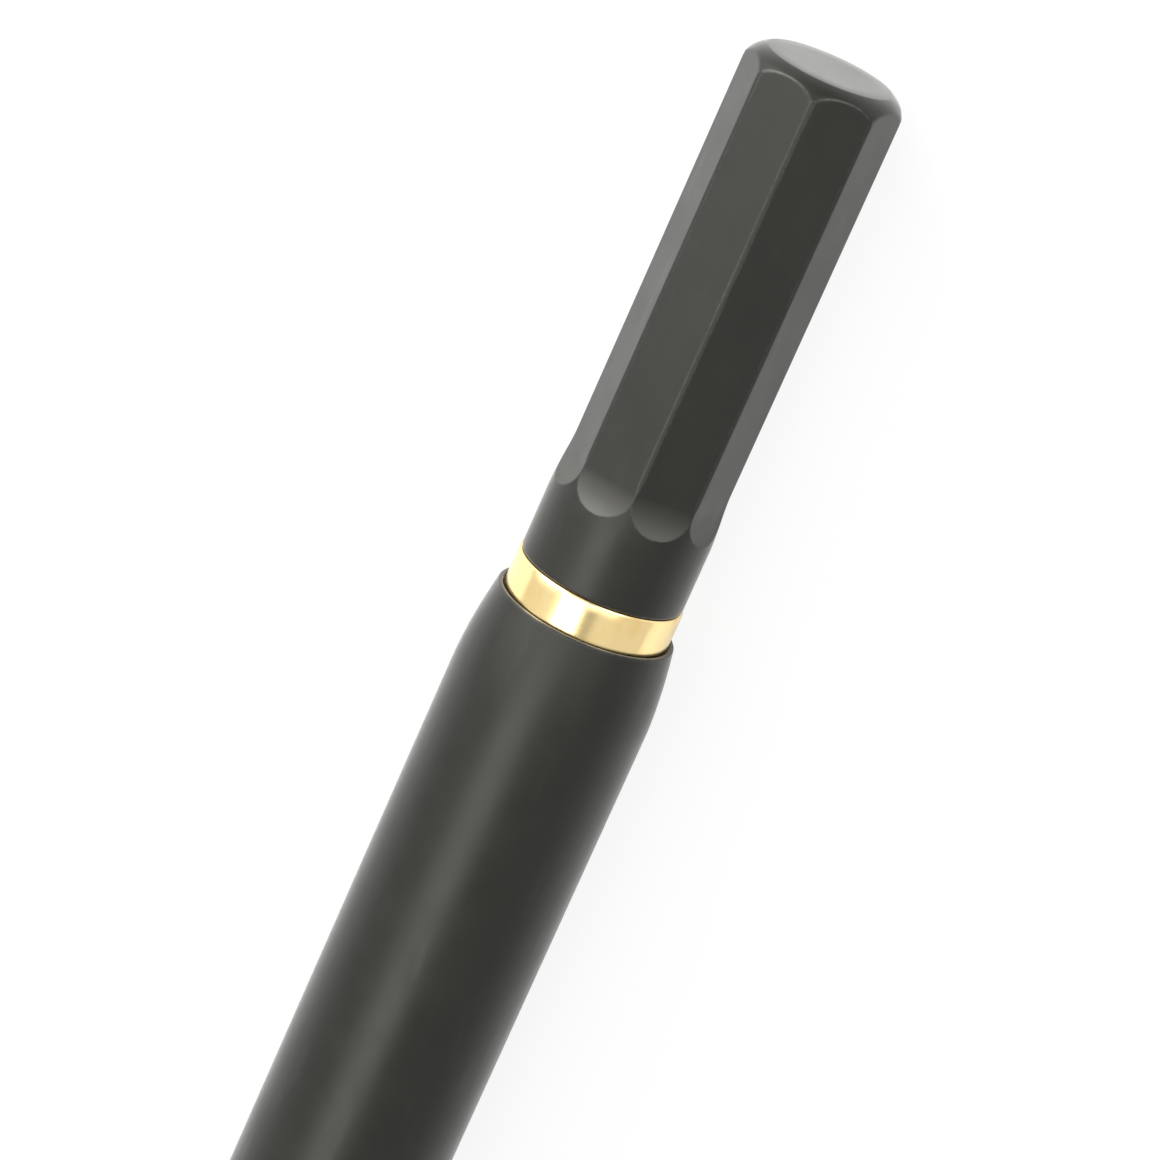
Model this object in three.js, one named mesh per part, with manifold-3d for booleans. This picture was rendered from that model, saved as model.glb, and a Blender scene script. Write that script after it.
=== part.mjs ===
// A twist-action ballpoint pen: a satin black barrel, a brass collar ring and an eight-sided knob.
// Turning the knob drives a helical cam, which slides the refill out of the brass nose.
// Millimetres. The pen lies along +X on a flat of its barrel, its middle over the origin and its
// knob at +X. Inside, each piece is drawn on its own +Y axis, by its station from the nose tip.

import * as THREE from 'three';
import { mergeVertices } from 'three/addons/utils/BufferGeometryUtils.js';
import Module from 'manifold-3d';

const wasm = await Module();
wasm.setup();

// Lengths along the pen
const NOSE_LENGTH = 18;
const BARREL_LENGTH = 91.8;
const RING_SHOW = 2;
const KNOB_LENGTH = 28.2;

// The barrel: a long gentle taper at the front and a rounded shoulder that draws in to the mouth lip
const BARREL_RADIUS = 5.25;
const BARREL_FRONT_RADIUS = 4.55;
const BARREL_TAPER = 42;
const SHOULDER_LENGTH = 4.7;
const SHOULDER_DRAW = 0.51;
const SHOULDER_POWER = 1.7;
const LIP_WALL = 0.22;
const FRONT_EDGE = 0.08;

// The knob: flats milled into a round blank by a cutter that leaves a scooped run-out
const FLATS = 8;
const KNOB_APOTHEM = 3.87;
const FLAT_LENGTH = 22.3;
const CUTTER_RADIUS = 3.88;
const FLARE_LENGTH = 3.25;
const FLARE_LEAD = 0.65;
const FLARE_EASE = 0.85;
const LAND_BREAK = 0.07;
const END_FACE_RADIUS = 3.27;
const END_ROUND = 1.59;
const END_ROUND_DEPTH = 0.9;
const KNOB_BASE_STEP = 0.075;
const KNOB_BASE_EDGE = 0.16;
const KNOB_BORE_DEPTH = 16.7;
const DRILL_POINT = 1.3;

// The refill, a standard metal one
const REFILL_LENGTH = 98.1;
const REFILL_RADIUS = 2.9;
const REFILL_WALL = 0.3;
const REFILL_SHOULDER = 10.2;
const REFILL_SHOULDER_RADIUS = 1.9;
const REFILL_TAPER_END = 22;
const TIP_SHANK_RADIUS = 1.15;
const TIP_CONE_LENGTH = 3.2;
const TIP_BORE = 0.4;
const TIP_INSERT = 2.8;
const BALL_RADIUS = 0.35;
const BALL_SHOW = 0.15;
const PLUG_LENGTH = 6.6;
const PLUG_SPIGOT = 3.4;
const PLUG_VENT = 0.4;
const NOTCH_WIDTH = 0.8;
const NOTCH_DEPTH = 1;
const NOTCH_PAIRS = 3;
const INK_LENGTH = 56;

// The motion: half a turn of the knob pushes the refill out by the travel
const TRAVEL = 5;
const HALF_TURN = Math.PI;
const REFILL_RECESS = 2;

// The mechanism
const HOUSING_LENGTH = 11;
const HOUSING_STEP = 0.47;
const HOUSING_NECK = 4.3;
const GUIDE_WALL = 0.7;
const GUIDE_FLANGE_EASE = 0.25;
const GUIDE_FLANGE_LENGTH = 0.6;
const GUIDE_TAIL = 1.6;
const CAM_BORE = 2.2;
const CAM_WALL = 0.55;
const PUSHER_FLANGE_LENGTH = 1.2;
const PUSHER_TAIL = 2;
const PIN_RADIUS = 0.45;
const PIN_DEPTH = 6.2;
const BUSH_WALL = 0.6;
const BUSH_DEPTH = 3.4;
const WASHER_THICKNESS = 0.3;
const CLIP_THICKNESS = 0.4;
const CLIP_EASE = 0.2;
const CLIP_GROOVE_DEPTH = 0.3;
const CLIP_GAP = 1.3;
const SEAL_WIRE = 0.2;
const SEAL_EASE = 0.06;
const SEAL_AHEAD_OF_CLIP = 3.4;
const RING_SKIRT = 2;
const RING_EDGE = 0.14;

// The nose: a thread bush in the barrel takes its spigot, and a spring stands in its chamber
const NOSE_MOUTH_WALL = 0.35;
const NOSE_LAND = 4.5;
const CHAMBER_TAPER_START = 7;
const CHAMBER_TAPER_END = 17;
const NOSE_RIM = 0.12;
const NOSE_POWER = 1.5;
const SPIGOT_LENGTH = 6;
const SPIGOT_WALL = 0.55;
const THREAD_BUSH_WALL = 0.3;
const SPRING_WIRE = 0.15;
const SPRING_RADIUS = 1.62;
const SPRING_TURNS = 6;

// Clearances
const FIT = 0.05;
const RUNNING = 0.1;
const SLIDE = 0.1;
const SLOT_EASE = 0.15;
const SPRING_SEAT = 0.08;
const REFILL_ROOM = 0.6;

// Facets round a full turn
const ROUND = 32;
const KNOB_ROUND = 48;
const FINE = 16;

// Stations from the nose tip, worked out from the lengths
const MOUTH = NOSE_LENGTH + BARREL_LENGTH;
const KNOB_BASE = MOUTH + RING_SHOW;
const KNOB_END = KNOB_BASE + KNOB_LENGTH;
const RING_BASE = MOUTH - RING_SKIRT;
const WASHER_BASE = RING_BASE - RUNNING - WASHER_THICKNESS;
const HOUSING_TOP = WASHER_BASE - RUNNING;
const HOUSING_BASE = HOUSING_TOP - HOUSING_LENGTH;
const NECK_STATION = HOUSING_TOP - HOUSING_NECK;
const BUSH_TOP = KNOB_BASE + BUSH_DEPTH;
const PIN_STATION = KNOB_BASE + PIN_DEPTH;
const CAM_BASE = RING_BASE + 2 * RUNNING;
const REFILL_END = REFILL_RECESS + REFILL_LENGTH;
const PUSHER_FACE = REFILL_END + FIT;
const GUIDE_END = KNOB_BASE + KNOB_BORE_DEPTH - GUIDE_TAIL;
const CLIP_STATION = GUIDE_END - GUIDE_TAIL;
const SPRING_WASHER_BASE = CLIP_STATION - RUNNING - WASHER_THICKNESS;
const CAM_END = SPRING_WASHER_BASE - RUNNING;
const SEAL_STATION = CLIP_STATION - SEAL_AHEAD_OF_CLIP;
const SPIGOT_END = NOSE_LENGTH + SPIGOT_LENGTH;

// Radii worked out from what fits in what, from the barrel's mouth inwards
const LIP_RADIUS = BARREL_RADIUS - SHOULDER_DRAW;
const LIP_BORE = LIP_RADIUS - LIP_WALL;
const RING_RADIUS = LIP_BORE - RUNNING;
const KNOB_BASE_RADIUS = RING_RADIUS - KNOB_BASE_STEP;
const HOUSING_RADIUS = LIP_BORE - HOUSING_STEP;
const HOUSING_SEAT = HOUSING_RADIUS + FIT;
const WASHER_RADIUS = HOUSING_RADIUS - SLOT_EASE;

// Radii round the cam sleeve and its guide tube
const CAM_RADIUS = CAM_BORE + CAM_WALL;
const BUSH_BORE = CAM_RADIUS + FIT;
const BUSH_RADIUS = BUSH_BORE + BUSH_WALL;
const KNOB_BORE = CAM_RADIUS + FIT;
const PIN_LENGTH = 2 * (CAM_RADIUS - SLOT_EASE);
const CLIP_RADIUS = KNOB_BORE - CLIP_EASE;
const GUIDE_RADIUS = CAM_BORE - RUNNING - FIT;
const GUIDE_BORE = GUIDE_RADIUS - GUIDE_WALL;
const CLIP_GROOVE = GUIDE_RADIUS - CLIP_GROOVE_DEPTH;
const SEAL_RADIUS = CAM_BORE - SEAL_EASE - SEAL_WIRE;
const PUSHER_ROD_RADIUS = GUIDE_BORE - SLIDE;

// Radii round the refill
const BARREL_BORE = REFILL_RADIUS + REFILL_ROOM;
const PLUG_RADIUS = REFILL_RADIUS + FIT;
const PUSHER_FLANGE_RADIUS = REFILL_RADIUS - REFILL_WALL;
const HOUSING_FRONT_BORE = PLUG_RADIUS + 2 * SLIDE;
const GUIDE_FLANGE_RADIUS = HOUSING_FRONT_BORE - GUIDE_FLANGE_EASE;
const NOSE_HOLE = TIP_SHANK_RADIUS + SLIDE;
const NOSE_MOUTH_RADIUS = NOSE_HOLE + NOSE_MOUTH_WALL;
const NOSE_BASE_RADIUS = BARREL_FRONT_RADIUS - FIT;
const SPRING_CHAMBER = REFILL_SHOULDER_RADIUS + 2 * SLIDE;
const SPIGOT_BORE = REFILL_RADIUS + 2 * SLIDE;
const SPIGOT_RADIUS = SPIGOT_BORE + SPIGOT_WALL;
const THREAD_BORE = SPIGOT_RADIUS + FIT;
const THREAD_BUSH_RADIUS = THREAD_BORE + THREAD_BUSH_WALL;
const LAND_RADIUS = KNOB_APOTHEM / Math.cos(Math.PI / FLATS) - LAND_BREAK;
const AXIS_HEIGHT = BARREL_RADIUS * Math.cos(Math.PI / ROUND);

// Finishes
const finish = (color, roughness, metalness) =>
  new THREE.MeshStandardMaterial({ color, roughness, metalness });
const satinBlack = finish(0x2b2a27, 0.42, 0.6);
const brass = finish(0xd9b871, 0.18, 1);
const turnedBrass = finish(0xb99a55, 0.35, 1);
const steel = finish(0x9fa2a4, 0.3, 1);
const whiteAcetal = finish(0xe6e4dc, 0.5, 0);
const slipWhite = finish(0xf1f0ea, 0.6, 0);
const blackRubber = finish(0x1a1a1a, 0.8, 0);
const greyPlastic = finish(0x8b8d90, 0.45, 0);
const inkBlack = finish(0x0b0b10, 0.3, 0);
const carbide = finish(0x6f7276, 0.2, 1);

// A closed geometry as a solid, without the triangles that collapse where a profile meets the axis
function solidOf(geometry) {
  const bare = geometry.clone();
  bare.deleteAttribute('normal');
  bare.deleteAttribute('uv');
  const merged = mergeVertices(bare, 1e-4);
  const corners = [];
  for (let i = 0; i < merged.index.count; i += 3) {
    const [a, b, c] = [0, 1, 2].map((k) => merged.index.getX(i + k));
    if (a !== b && b !== c && c !== a) corners.push(a, b, c);
  }
  return new wasm.Manifold(new wasm.Mesh({
    numProp: 3,
    vertProperties: new Float32Array(merged.attributes.position.array),
    triVerts: new Uint32Array(corners),
  }));
}

// A named mesh from a solid
function piece(name, solid, material) {
  const made = solid.getMesh();
  const indexed = new THREE.BufferGeometry();
  indexed.setAttribute('position', new THREE.BufferAttribute(made.vertProperties, 3));
  indexed.setIndex(new THREE.BufferAttribute(made.triVerts, 1));
  const geometry = indexed.toNonIndexed();
  geometry.computeVertexNormals();
  const mesh = new THREE.Mesh(geometry, material);
  mesh.name = name;
  return mesh;
}

// A profile of [radius, station] points turned about the axis. It runs up the outside, and a tube's
// comes back down the inside and closes on itself. Any other starts and ends on the axis.
function turned(profile, sides = ROUND) {
  const points = profile.map(([radius, station]) => new THREE.Vector2(radius, station));
  const hollow = profile.every(([radius]) => radius > 0);
  if (hollow) points.push(points[0].clone());
  return solidOf(new THREE.LatheGeometry(points, sides, Math.PI / sides));
}

const tube = (inner, outer, from, to, sides) =>
  turned([[outer, from], [outer, to], [inner, to], [inner, from]], sides);

const rod = (radius, from, to, sides) =>
  turned([[0, from], [radius, from], [radius, to], [0, to]], sides);

// Points of a smooth stretch of profile, from a formula for its radius
function stretch(from, to, steps, radiusAt) {
  const points = [];
  for (let i = 0; i <= steps; i++) {
    const station = from + (to - from) * i / steps;
    points.push([radiusAt(station), station]);
  }
  return points;
}

// A solid outline extruded across the axis and swung round it
function across(shape, width, swing) {
  const geometry = new THREE.ExtrudeGeometry(shape, {
    depth: width,
    bevelEnabled: false,
    curveSegments: 10,
  });
  geometry.translate(0, 0, -width / 2);
  geometry.rotateY(swing);
  return solidOf(geometry);
}

// A box through the axis, standing on a station
function bar(width, length, reach, station, swing) {
  const geometry = new THREE.BoxGeometry(reach, length, width);
  geometry.translate(0, station + length / 2, 0);
  geometry.rotateY(swing);
  return solidOf(geometry);
}

// Barrel

function barrelRadius(station) {
  const alongTaper = Math.min((station - NOSE_LENGTH) / BARREL_TAPER, 1);
  return BARREL_RADIUS - (BARREL_RADIUS - BARREL_FRONT_RADIUS) * (1 - alongTaper) ** 2;
}

function shoulderRadius(station) {
  const share = (station - (MOUTH - SHOULDER_LENGTH)) / SHOULDER_LENGTH;
  return BARREL_RADIUS - (BARREL_RADIUS - LIP_RADIUS) * share ** SHOULDER_POWER;
}

function barrel() {
  const taper = stretch(NOSE_LENGTH, NOSE_LENGTH + BARREL_TAPER, 6, barrelRadius);
  taper[0] = [BARREL_FRONT_RADIUS - FRONT_EDGE, NOSE_LENGTH];
  taper.splice(1, 0, [BARREL_FRONT_RADIUS, NOSE_LENGTH + FRONT_EDGE]);
  const shoulder = stretch(MOUTH - SHOULDER_LENGTH, MOUTH, 7, shoulderRadius);
  return turned([
    ...taper,
    ...shoulder,
    [LIP_BORE, MOUTH],
    [LIP_BORE, HOUSING_TOP + RUNNING],
    [HOUSING_SEAT, HOUSING_TOP + RUNNING],
    [HOUSING_SEAT, HOUSING_BASE - FIT],
    [BARREL_BORE, HOUSING_BASE - FIT],
    [BARREL_BORE, SPIGOT_END + RUNNING],
    [THREAD_BUSH_RADIUS + FIT, SPIGOT_END + RUNNING],
    [THREAD_BUSH_RADIUS + FIT, NOSE_LENGTH],
  ]);
}

// Knob

// How far a flat's cut stands from the axis: level along the flat, then up the cutter's round
function cutDistance(station) {
  const past = Math.max(KNOB_END - FLAT_LENGTH - station, 0);
  return KNOB_APOTHEM + CUTTER_RADIUS - Math.sqrt(CUTTER_RADIUS ** 2 - past ** 2);
}

// How the broken corners between the flats swell softly to the round base
function flareRadius(station) {
  const top = KNOB_END - FLAT_LENGTH + FLARE_LEAD;
  const share = ((top - station) / FLARE_LENGTH) ** FLARE_EASE;
  return LAND_RADIUS + (KNOB_BASE_RADIUS - LAND_RADIUS) * share * share * (3 - 2 * share);
}

// The end's round: an arc of a given radius from the broken corners down to the flat end face
function endRoundPoints() {
  const drop = LAND_RADIUS - END_FACE_RADIUS;
  const chord = Math.hypot(END_ROUND_DEPTH, drop);
  const rise = Math.sqrt(END_ROUND ** 2 - chord * chord / 4) / chord;
  const centreStation = KNOB_END - END_ROUND_DEPTH / 2 - rise * drop;
  const centreRadius = (LAND_RADIUS + END_FACE_RADIUS) / 2 - rise * END_ROUND_DEPTH;
  return stretch(KNOB_END - END_ROUND_DEPTH, KNOB_END, 6, (station) =>
    centreRadius + Math.sqrt(Math.max(END_ROUND ** 2 - (station - centreStation) ** 2, 0)));
}

function knobBlank() {
  const flareTop = KNOB_END - FLAT_LENGTH + FLARE_LEAD;
  const flare = stretch(flareTop - FLARE_LENGTH, flareTop, 6, flareRadius);
  return turned([
    [0, KNOB_BASE + KNOB_BORE_DEPTH + DRILL_POINT],
    [KNOB_BORE, KNOB_BASE + KNOB_BORE_DEPTH],
    [KNOB_BORE, BUSH_TOP + RUNNING],
    [BUSH_RADIUS + FIT, BUSH_TOP + RUNNING],
    [BUSH_RADIUS + FIT, KNOB_BASE],
    [KNOB_BASE_RADIUS - KNOB_BASE_EDGE, KNOB_BASE],
    [KNOB_BASE_RADIUS - KNOB_BASE_EDGE / 3, KNOB_BASE + KNOB_BASE_EDGE / 2],
    [KNOB_BASE_RADIUS, KNOB_BASE + 1.5 * KNOB_BASE_EDGE],
    ...flare,
    ...endRoundPoints(),
    [0, KNOB_END],
  ], KNOB_ROUND);
}

function flatCutter(swing) {
  const flatBase = KNOB_END - FLAT_LENGTH;
  const clear = KNOB_BASE_RADIUS + 1;
  const sweep = Math.acos(1 - (clear - KNOB_APOTHEM) / CUTTER_RADIUS);
  const outline = new THREE.Shape();
  outline.moveTo(clear, KNOB_END + 1);
  outline.lineTo(KNOB_APOTHEM, KNOB_END + 1);
  outline.lineTo(KNOB_APOTHEM, flatBase);
  outline.absarc(KNOB_APOTHEM + CUTTER_RADIUS, flatBase, CUTTER_RADIUS, Math.PI, Math.PI + sweep);
  outline.closePath();
  return across(outline, 2 * clear, swing);
}

function knob() {
  let solid = knobBlank();
  for (let i = 0; i < FLATS; i++) {
    solid = solid.subtract(flatCutter((i + 0.5) * 2 * Math.PI / FLATS));
  }
  return solid;
}

// Collar ring and the bush that joins it, the knob and the cam sleeve

function collarRing() {
  const bore = BUSH_RADIUS + FIT;
  return turned([
    [RING_RADIUS - RING_EDGE, RING_BASE],
    [RING_RADIUS, RING_BASE + RING_EDGE],
    [RING_RADIUS, KNOB_BASE - RING_EDGE],
    [RING_RADIUS - RING_EDGE, KNOB_BASE],
    [bore, KNOB_BASE],
    [bore, RING_BASE],
  ], KNOB_ROUND);
}

const knobBush = () => tube(BUSH_BORE, BUSH_RADIUS, RING_BASE, BUSH_TOP);

// Cam sleeve: two helical slots, half a turn apart, that the follower pin rides in

// The solid of one helical slot. The knob turns by an angle about the pen's axis towards the nose,
// so the slot climbs back along the pen as it is met from the pin's start.
function helicalSlot(start) {
  const rest = Math.asin((PIN_RADIUS + SLOT_EASE) / CAM_BORE);
  const slope = TRAVEL / HALF_TURN;
  const lean = Math.atan(slope / CAM_BORE);
  const halfHeight = (PIN_RADIUS + SLOT_EASE) / Math.cos(lean);
  const inner = CAM_BORE - 3 * FIT;
  const outer = CAM_RADIUS + 3 * FIT;
  const steps = 24;
  const positions = [];
  for (let i = 0; i <= steps; i++) {
    const turn = -rest + (HALF_TURN + 2 * rest) * i / steps;
    const angle = start + turn;
    const station = PIN_STATION - slope * turn;
    const corners = [[inner, -halfHeight], [outer, -halfHeight], [outer, halfHeight], [inner, halfHeight]];
    for (const [radius, offset] of corners) {
      positions.push(radius * Math.sin(angle), station + offset, radius * Math.cos(angle));
    }
  }
  const index = [0, 1, 2, 0, 2, 3];
  for (let i = 0; i < steps; i++) {
    for (let k = 0; k < 4; k++) {
      const a = 4 * i + k;
      const b = 4 * i + (k + 1) % 4;
      index.push(a, a + 4, b, b, a + 4, b + 4);
    }
  }
  const last = 4 * steps;
  index.push(last, last + 2, last + 1, last, last + 3, last + 2);
  const geometry = new THREE.BufferGeometry();
  geometry.setAttribute('position', new THREE.Float32BufferAttribute(positions, 3));
  geometry.setIndex(index);
  return solidOf(geometry);
}

function camSleeve() {
  const sleeve = tube(CAM_BORE, CAM_RADIUS, CAM_BASE, CAM_END);
  return sleeve.subtract(helicalSlot(Math.PI / 2)).subtract(helicalSlot(-Math.PI / 2));
}

// Mechanism housing and the guide tube that stands in it

const mechanismHousing = () => turned([
  [HOUSING_RADIUS, HOUSING_BASE],
  [HOUSING_RADIUS, HOUSING_TOP],
  [GUIDE_RADIUS + FIT, HOUSING_TOP],
  [GUIDE_RADIUS + FIT, NECK_STATION],
  [HOUSING_FRONT_BORE, NECK_STATION],
  [HOUSING_FRONT_BORE, HOUSING_BASE],
]);

function guideTube() {
  const sealBed = SEAL_RADIUS - SEAL_WIRE - FIT;
  const sealHalf = SEAL_WIRE + SLOT_EASE;
  const clipFrom = CLIP_STATION - FIT;
  const clipTo = CLIP_STATION + CLIP_THICKNESS + FIT;
  const flangeTop = NECK_STATION - FIT;
  const body = turned([
    [GUIDE_FLANGE_RADIUS, flangeTop - GUIDE_FLANGE_LENGTH],
    [GUIDE_FLANGE_RADIUS, flangeTop],
    [GUIDE_RADIUS, flangeTop],
    [GUIDE_RADIUS, SEAL_STATION - sealHalf],
    [sealBed, SEAL_STATION - sealHalf],
    [sealBed, SEAL_STATION + sealHalf],
    [GUIDE_RADIUS, SEAL_STATION + sealHalf],
    [GUIDE_RADIUS, clipFrom],
    [CLIP_GROOVE, clipFrom],
    [CLIP_GROOVE, clipTo],
    [GUIDE_RADIUS, clipTo],
    [GUIDE_RADIUS, GUIDE_END],
    [GUIDE_BORE, GUIDE_END],
    [GUIDE_BORE, flangeTop - GUIDE_FLANGE_LENGTH],
  ]);
  const slotReach = PIN_RADIUS + SLOT_EASE;
  const slot = bar(2 * (PIN_RADIUS + SLIDE), TRAVEL + 2 * slotReach, 3 * GUIDE_RADIUS,
    PIN_STATION - TRAVEL - slotReach, 0);
  return body.subtract(slot);
}

// Pusher and its cross pin

function crossPin(radius, length) {
  const geometry = new THREE.CylinderGeometry(radius, radius, length, FINE);
  geometry.rotateZ(Math.PI / 2);
  geometry.translate(0, PIN_STATION, 0);
  return solidOf(geometry);
}

function pusher() {
  const flangeEnd = PUSHER_FACE + PUSHER_FLANGE_LENGTH;
  const body = turned([
    [0, PUSHER_FACE],
    [PUSHER_FLANGE_RADIUS, PUSHER_FACE],
    [PUSHER_FLANGE_RADIUS, flangeEnd],
    [PUSHER_ROD_RADIUS, flangeEnd],
    [PUSHER_ROD_RADIUS, PIN_STATION + PUSHER_TAIL],
    [0, PIN_STATION + PUSHER_TAIL],
  ]);
  return body.subtract(crossPin(PIN_RADIUS + FIT, 3 * PUSHER_ROD_RADIUS));
}

// Small rings

const thrustWasher = () =>
  tube(GUIDE_RADIUS + RUNNING, WASHER_RADIUS, WASHER_BASE, WASHER_BASE + WASHER_THICKNESS);

const springWasher = () =>
  tube(GUIDE_RADIUS + RUNNING, CLIP_RADIUS, SPRING_WASHER_BASE, SPRING_WASHER_BASE + WASHER_THICKNESS);

function retainingClip() {
  const ring = tube(CLIP_GROOVE + FIT, CLIP_RADIUS, CLIP_STATION, CLIP_STATION + CLIP_THICKNESS);
  const gap = new THREE.BoxGeometry(CLIP_GAP, 3 * CLIP_THICKNESS, 2 * CLIP_RADIUS);
  gap.translate(0, CLIP_STATION, CLIP_RADIUS);
  return ring.subtract(solidOf(gap));
}

function frictionRing() {
  const geometry = new THREE.TorusGeometry(SEAL_RADIUS, SEAL_WIRE, 8, ROUND);
  geometry.rotateX(Math.PI / 2);
  geometry.rotateY(Math.PI / ROUND);
  geometry.translate(0, SEAL_STATION, 0);
  return solidOf(geometry);
}

// Nose cone, its thread bush and the return spring

function noseRadius(station) {
  const share = 1 - (1 - station / NOSE_LENGTH) ** NOSE_POWER;
  return NOSE_MOUTH_RADIUS + (NOSE_BASE_RADIUS - NOSE_MOUTH_RADIUS) * share;
}

function noseCone() {
  const ogive = stretch(NOSE_RIM, NOSE_LENGTH - FIT, 9, noseRadius);
  return turned([
    [NOSE_MOUTH_RADIUS - NOSE_RIM, 0],
    ...ogive,
    [SPIGOT_RADIUS, NOSE_LENGTH - FIT],
    [SPIGOT_RADIUS, SPIGOT_END],
    [SPIGOT_BORE, SPIGOT_END],
    [SPIGOT_BORE, CHAMBER_TAPER_END],
    [SPRING_CHAMBER, CHAMBER_TAPER_START],
    [SPRING_CHAMBER, NOSE_LAND],
    [NOSE_HOLE, NOSE_LAND],
    [NOSE_HOLE, 0],
  ]);
}

const noseThreadBush = () => tube(THREAD_BORE, THREAD_BUSH_RADIUS, NOSE_LENGTH + RUNNING, SPIGOT_END);

class Helix extends THREE.Curve {
  constructor(radius, from, to, turns) {
    super();
    Object.assign(this, { radius, from, to, turns });
  }

  getPoint(share, target = new THREE.Vector3()) {
    const angle = 2 * Math.PI * this.turns * share;
    const station = this.from + (this.to - this.from) * share;
    return target.set(this.radius * Math.sin(angle), station, this.radius * Math.cos(angle));
  }
}

function returnSpring() {
  const wire = new THREE.Shape();
  for (let i = 0; i < 6; i++) {
    const angle = i * Math.PI / 3;
    const [x, y] = [SPRING_WIRE * Math.cos(angle), SPRING_WIRE * Math.sin(angle)];
    if (i === 0) wire.moveTo(x, y);
    else wire.lineTo(x, y);
  }
  wire.closePath();
  const from = NOSE_LAND + SPRING_SEAT + SPRING_WIRE;
  const to = REFILL_RECESS + REFILL_SHOULDER - SPRING_SEAT - SPRING_WIRE;
  const geometry = new THREE.ExtrudeGeometry(wire, {
    steps: 14 * SPRING_TURNS,
    extrudePath: new Helix(SPRING_RADIUS, from, to, SPRING_TURNS),
    bevelEnabled: false,
  });
  return solidOf(geometry);
}

// Refill, drawn by stations from its own tip

const shankBore = TIP_SHANK_RADIUS + FIT;

function refillTube() {
  const tubeEnd = REFILL_LENGTH - PLUG_LENGTH;
  const neckEnd = REFILL_SHOULDER + TIP_INSERT + FIT;
  return turned([
    [shankBore, REFILL_SHOULDER],
    [REFILL_SHOULDER_RADIUS, REFILL_SHOULDER],
    [REFILL_RADIUS, REFILL_TAPER_END],
    [REFILL_RADIUS, tubeEnd],
    [REFILL_RADIUS - REFILL_WALL, tubeEnd],
    [REFILL_RADIUS - REFILL_WALL, REFILL_TAPER_END],
    [REFILL_SHOULDER_RADIUS - REFILL_WALL, neckEnd],
    [shankBore, neckEnd],
  ]);
}

const refillTip = () => turned([
  [BALL_RADIUS + FIT, BALL_SHOW],
  [BALL_RADIUS + 2 * FIT, BALL_SHOW],
  [TIP_SHANK_RADIUS, TIP_CONE_LENGTH],
  [TIP_SHANK_RADIUS, REFILL_SHOULDER + TIP_INSERT],
  [TIP_BORE, REFILL_SHOULDER + TIP_INSERT],
  [TIP_BORE, BALL_SHOW + FIT],
], FINE);

function writingBall() {
  const geometry = new THREE.SphereGeometry(BALL_RADIUS, FINE, 8);
  geometry.translate(0, BALL_RADIUS, 0);
  return solidOf(geometry);
}

const inkColumn = () =>
  rod(REFILL_RADIUS - REFILL_WALL - FIT, REFILL_TAPER_END + FIT, REFILL_TAPER_END + INK_LENGTH);

function refillPlug() {
  const tubeEnd = REFILL_LENGTH - PLUG_LENGTH;
  let plug = turned([
    [REFILL_RADIUS - REFILL_WALL - FIT, tubeEnd - PLUG_SPIGOT],
    [REFILL_RADIUS - REFILL_WALL - FIT, tubeEnd + FIT],
    [PLUG_RADIUS, tubeEnd + FIT],
    [PLUG_RADIUS, REFILL_LENGTH],
    [PLUG_VENT, REFILL_LENGTH],
    [PLUG_VENT, tubeEnd - PLUG_SPIGOT],
  ]);
  for (let i = 0; i < NOTCH_PAIRS; i++) {
    const swing = i * Math.PI / NOTCH_PAIRS;
    plug = plug.subtract(
      bar(NOTCH_WIDTH, 2 * NOTCH_DEPTH, 3 * PLUG_RADIUS, REFILL_LENGTH - NOTCH_DEPTH, swing));
  }
  return plug;
}

// Assembly: what stays still, what the knob turns and what slides with the refill

const still = new THREE.Group();
still.add(
  piece('barrel', barrel(), satinBlack),
  piece('nose_cone', noseCone(), brass),
  piece('nose_thread_bush', noseThreadBush(), turnedBrass),
  piece('mechanism_housing', mechanismHousing(), turnedBrass),
  piece('guide_tube', guideTube(), whiteAcetal),
  piece('friction_ring', frictionRing(), blackRubber),
  piece('spring_washer', springWasher(), steel),
  piece('retaining_clip', retainingClip(), steel),
  piece('return_spring', returnSpring(), steel),
);

const turning = new THREE.Group();
turning.add(
  piece('knob', knob(), satinBlack),
  piece('collar_ring', collarRing(), brass),
  piece('knob_bush', knobBush(), turnedBrass),
  piece('cam_sleeve', camSleeve(), turnedBrass),
  piece('thrust_washer', thrustWasher(), slipWhite),
);

const refill = new THREE.Group();
refill.position.y = REFILL_RECESS;
refill.add(
  piece('refill_tube', refillTube(), steel),
  piece('refill_tip', refillTip(), steel),
  piece('writing_ball', writingBall(), carbide),
  piece('ink_column', inkColumn(), inkBlack),
  piece('refill_plug', refillPlug(), greyPlastic),
);

const sliding = new THREE.Group();
sliding.add(
  refill,
  piece('pusher', pusher(), whiteAcetal),
  piece('follower_pin', crossPin(PIN_RADIUS, PIN_LENGTH), steel),
);

const pen = new THREE.Group();
pen.rotation.z = -Math.PI / 2;
pen.position.set(-KNOB_END / 2, 0, AXIS_HEIGHT);
pen.add(still, turning, sliding);

const part = new THREE.Group();
part.add(pen);

export default part;
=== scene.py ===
import math

import bmesh
import bpy
from mathutils import Matrix, Vector


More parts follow.
